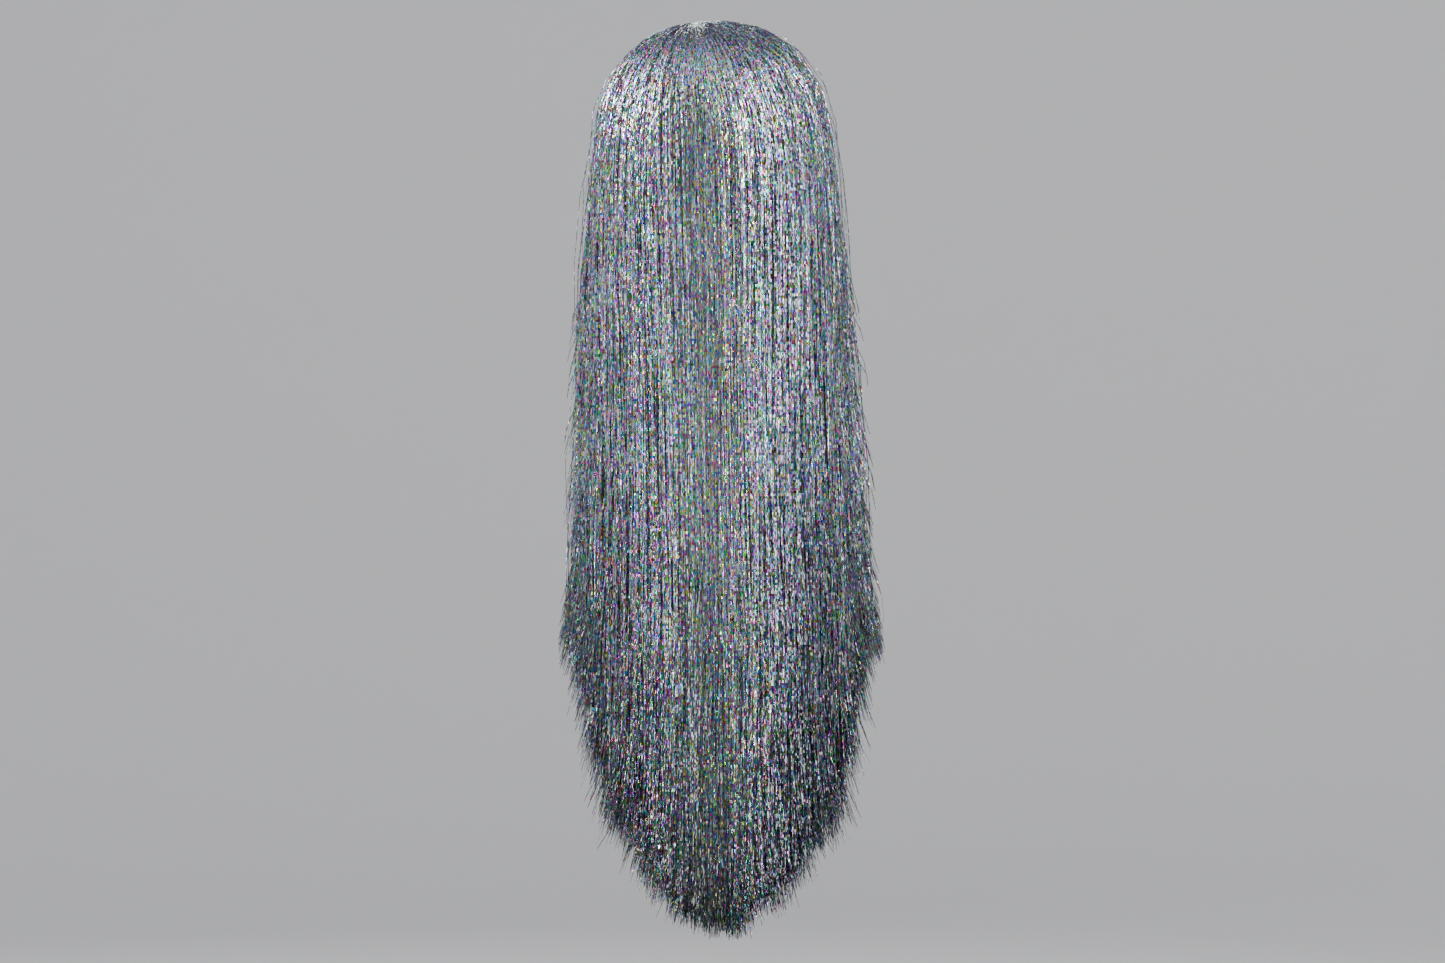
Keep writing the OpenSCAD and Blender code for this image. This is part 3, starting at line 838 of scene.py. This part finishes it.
for side, sign in (("left", 1), ("right", -1)):
    azimuths = sorted((sign * cap["napeEnd"], sign * (cap["laceEnd"] - cap["seamAngle"])))
    piece = capCloth(side + "_stretch_lace", azimuths, edgeHeight, lambda az: netLow(az) - seam, sideLace, (30, 12))
    finishCloth(piece, side + "_side_lace", "cap")

    middle, half = sign * earTab["azimuth"], earTab["half"]
    rise = (edgeHeight(middle) - earTab["tip"]) * earTab["corner"]
    piece = capCloth(side + "_ear_tab_cloth", (middle - half, middle + half),
                     lambda az: earTab["tip"] + rise * (abs(az - middle) / half) ** 2,
                     lambda az: edgeHeight(az) - 2 * seam, stretchBand, (12, 14))
    finishCloth(piece, side + "_ear_tab", side + "_ear_flap")

    # the elastic runs from its seam on the band into the hook's slot
    piece = capCloth(side + "_elastic_strap", sorted((sign * adjuster["sewn"], sign * adjuster["slot"])),
                     lambda az: strapHeight(az) - strapHalf(az), lambda az: strapHeight(az) + strapHalf(az),
                     elasticWebbing, (28, 4), off=strapOff, thickness=adjuster["thickness"])
    finishCloth(piece, side + "_adjuster_strap", None)
    onStrap(adjuster["sewn"], sign)
    onStrap(adjuster["slot"] + adjuster["hookReach"], sign)
    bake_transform(piece)

# The net over the top of the head: a sphere's upper half, drawn down to the net's edge
bm = bmesh.new()
bmesh.ops.create_uvsphere(bm, u_segments=96, v_segments=48, radius=1.0)
bmesh.ops.bisect_plane(bm, geom=bm.verts[:] + bm.edges[:] + bm.faces[:], plane_co=(0, 0, 0), plane_no=(0, 0, -1),
                       clear_outer=True, dist=1e-5)
flat = {}
for vert in bm.verts:
    az = math.degrees(math.atan2(vert.co.x, vert.co.y))
    lowest = math.asin(netLow(az) / head["height"])
    climb = mix(lowest, math.pi / 2, math.asin(max(0.0, min(1.0, vert.co.z))) / (math.pi / 2))
    vert.co = onCap(az, head["height"] * math.sin(climb), 0.0)
    spread = 1 + cap["netSpread"] * (1 - math.sin(climb))
    flat[vert.index] = (vert.co.x * spread, vert.co.y * spread)
piece, area = clothPiece("crown_stretch_net", bm, flat, capNet, cap["thickness"])
cutX, cutY = cap["netCut"]
min(area / cap["stretch"], cutX * cutY)
finishCloth(piece, "crown_net", "cap")
print("cap cloth made")


# Sewn weft: a folded tape with a close row of lockstitches and the tinsel's ends under it
def weftMaterial(name):
    stitches = 0.088 / 0.0026  # in a radian
    shader = Shader(name)
    x, y = shader.split(shader.place())[:2]
    loop = ((x.turnFrom(y) * stitches).fract() - 0.5).absolute() * 2
    fuzz = shader.noise(1400)
    tone = shader.ramp(loop * 0.75 + fuzz * 0.35, [(0.1, (0.035, 0.038, 0.048, 1)), (0.55, (0.16, 0.175, 0.21, 1)),
                                                   (0.9, (0.40, 0.43, 0.49, 1))])
    return shader.set(Base_Color=tone, Roughness=0.75, Normal=shader.bump(0.7, 0.0005, loop + fuzz * 0.3))


# Woven elastic on the tapes, with the warp along the band
def tapeMaterial(name, color):
    yarn = {"warp": 0.0009, "weft": 0.0011, "radius": 0.086}
    shader = Shader(name)
    x, y, z = shader.split(shader.place())
    warp = (z * (math.tau / yarn["warp"])).sine() * 0.5 + 0.5
    weft = (x.turnFrom(y) * (yarn["radius"] * math.tau / yarn["weft"])).sine() * 0.5 + 0.5
    fuzz = shader.noise(1800)
    tone = shader.mixColor(warp * 0.3 + weft * 0.25 + fuzz * 0.3, color, darker(color, 0.5))
    bump = shader.bump(0.6, 0.0003, warp * 0.5 + weft * 0.5 + fuzz * 0.3)
    return shader.set(Base_Color=tone, Roughness=0.72 + 0.12 * fuzz, Normal=bump)


# The skin-coloured strip under the parting: a film over fine mesh, paler along its middle
def skinTopMaterial(name, color):
    mesh = {"cell": 0.0011, "dot": 0.17, "paleHalf": 0.006}
    shader = Shader(name)
    x, y = shader.split(shader.place())[:2]
    across = (x / mesh["cell"]).fract() - 0.5
    along = (y / mesh["cell"]).fract() - 0.5
    dots = (across * across + along * along) ** 0.5 < mesh["dot"]
    middle = 1 - ((x - hair["partX"]).absolute() / mesh["paleHalf"]).clamp()
    blotch = shader.noise(140, detail=3)
    tone = shader.mixColor(middle * 0.45 + blotch * 0.3, color, capShades["skinLight"])
    tone = shader.mixColor(dots * 0.55, tone, darker(color, 0.35))
    bump = shader.bump(0.4, 0.0002, blotch - dots * 0.5)
    return shader.set(Base_Color=tone, Roughness=0.50 + 0.20 * blotch, Normal=bump)


def steelMaterial(name):
    shader = Shader(name)
    brushed = shader.noise((600, 600, 9000))
    tone = shader.mixColor(brushed, (0.50, 0.51, 0.52, 1), (0.80, 0.81, 0.82, 1))
    return shader.set(Base_Color=tone, Metallic=1.0, Roughness=0.22 + 0.22 * brushed)


def plasticMaterial(name):
    shader = Shader(name)
    grain = shader.noise(2600, detail=3)
    tone = shader.mixColor(shader.noise(260), (0.030, 0.031, 0.034, 1), (0.062, 0.064, 0.070, 1))
    return shader.set(Base_Color=tone, Roughness=0.30 + 0.20 * grain, Normal=shader.bump(0.25, 0.0001, grain))


# The cap's solid parts are the frame's own, by what their names hold
looks = {
    "weft": weftMaterial("weftTape"),
    "ear_stay": steelMaterial("steelStay"),
    "adjuster_hook": plasticMaterial("hookPlastic"),
    "loop_tape": tapeMaterial("elasticTape", capShades["elastic"]),
    "part_patch": skinTopMaterial("skinTop", capShades["skinTop"]),
}
for name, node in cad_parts.items():
    for part, look in looks.items():
        if part in name:
            node.data.materials.clear()
            node.data.materials.append(look)
print("cap parts finished")


studio = {
    "floorZ": cadLow[2] - 0.45,
    "middle": (-0.008, 0.0, -0.289),
    "distance": 3.0,
    "lens": 85.0,
    "sweep": 5.5,  # radius of the pale sweep round the object
    "sweepHigh": 3.2,
    "sweepBend": 2.0,
    "pale": (0.80, 0.80, 0.81, 1),
    "aim": (0, 0, -0.1),  # where the lamps point
    "sky": (0.80, 0.81, 0.84, 1),
    "skyLight": 0.42,
}

# The floor turns up into a pale wall all round, with no line between them
bm = bmesh.new()
edge, bend = studio["sweep"], studio["sweepBend"]
turns = np.linspace(0, math.pi / 2, 9)
places = [(0, 0)]
places += [(edge - bend + bend * math.sin(turn), bend - bend * math.cos(turn)) for turn in turns]
places += [(edge, studio["sweepHigh"])]
profile = [bm.verts.new((x, 0, studio["floorZ"] + z)) for x, z in places]
outline = [bm.edges.new(pair) for pair in zip(profile, profile[1:])]
bmesh.ops.spin(bm, geom=profile + outline, cent=(0, 0, 0), axis=(0, 0, 1), angle=math.tau, steps=64,
               use_merge=True)
bmesh.ops.remove_doubles(bm, verts=bm.verts, dist=1e-5)
bmesh.ops.recalc_face_normals(bm, faces=bm.faces)
floorMesh = bpy.data.meshes.new("floor")
bm.to_mesh(floorMesh)
bm.free()
floorMesh.shade_smooth()
floor = bpy.data.objects.new("floor", floorMesh)
bpy.context.collection.objects.link(floor)
floorMesh.materials.append(Shader("floorPaint").set(Base_Color=studio["pale"], Roughness=0.95))

lamps = {
    # name: place, size, power
    "leftLamp": ((1.75, 0.35, 1.15), (0.35, 0.5), 62),
    "rightLamp": ((-1.25, 1.45, 1.25), (0.35, 0.5), 62),
    "topLamp": ((0.0, 0.9, 1.9), (0.8, 0.8), 9),
    "lowLeftLamp": ((1.65, 1.75, -0.15), (0.3, 0.3), 20),
    "lowRightLamp": ((-1.65, 1.75, -0.10), (0.3, 0.3), 20),
    "frontLamp": ((0.4, -2.0, 1.2), (0.9, 0.9), 34),
}
for name, (place, size, power) in lamps.items():
    light = bpy.data.lights.new(name, "AREA")
    light.shape = "RECTANGLE"
    light.size, light.size_y = size
    light.energy = power
    lamp = bpy.data.objects.new(name, light)
    lamp.location = place
    lamp.rotation_euler = (Vector(studio["aim"]) - Vector(place)).to_track_quat("-Z", "Y").to_euler()
    bpy.context.collection.objects.link(lamp)

world = bpy.data.worlds.new("studio")
world.use_nodes = True
background = world.node_tree.nodes["Background"]
background.inputs["Color"].default_value = studio["sky"]
background.inputs["Strength"].default_value = studio["skyLight"]
bpy.context.scene.world = world

cameraData = bpy.data.cameras.new("camera")
cameraData.lens = studio["lens"]
cameraData.sensor_width = 36.0
camera = bpy.data.objects.new("camera", cameraData)
x, y, z = studio["middle"]
camera.location = (x, y + studio["distance"], z)
camera.rotation_euler = (math.radians(90), 0, math.radians(180))
bpy.context.collection.objects.link(camera)
bpy.context.scene.camera = camera
print("floor, lamps and camera set")
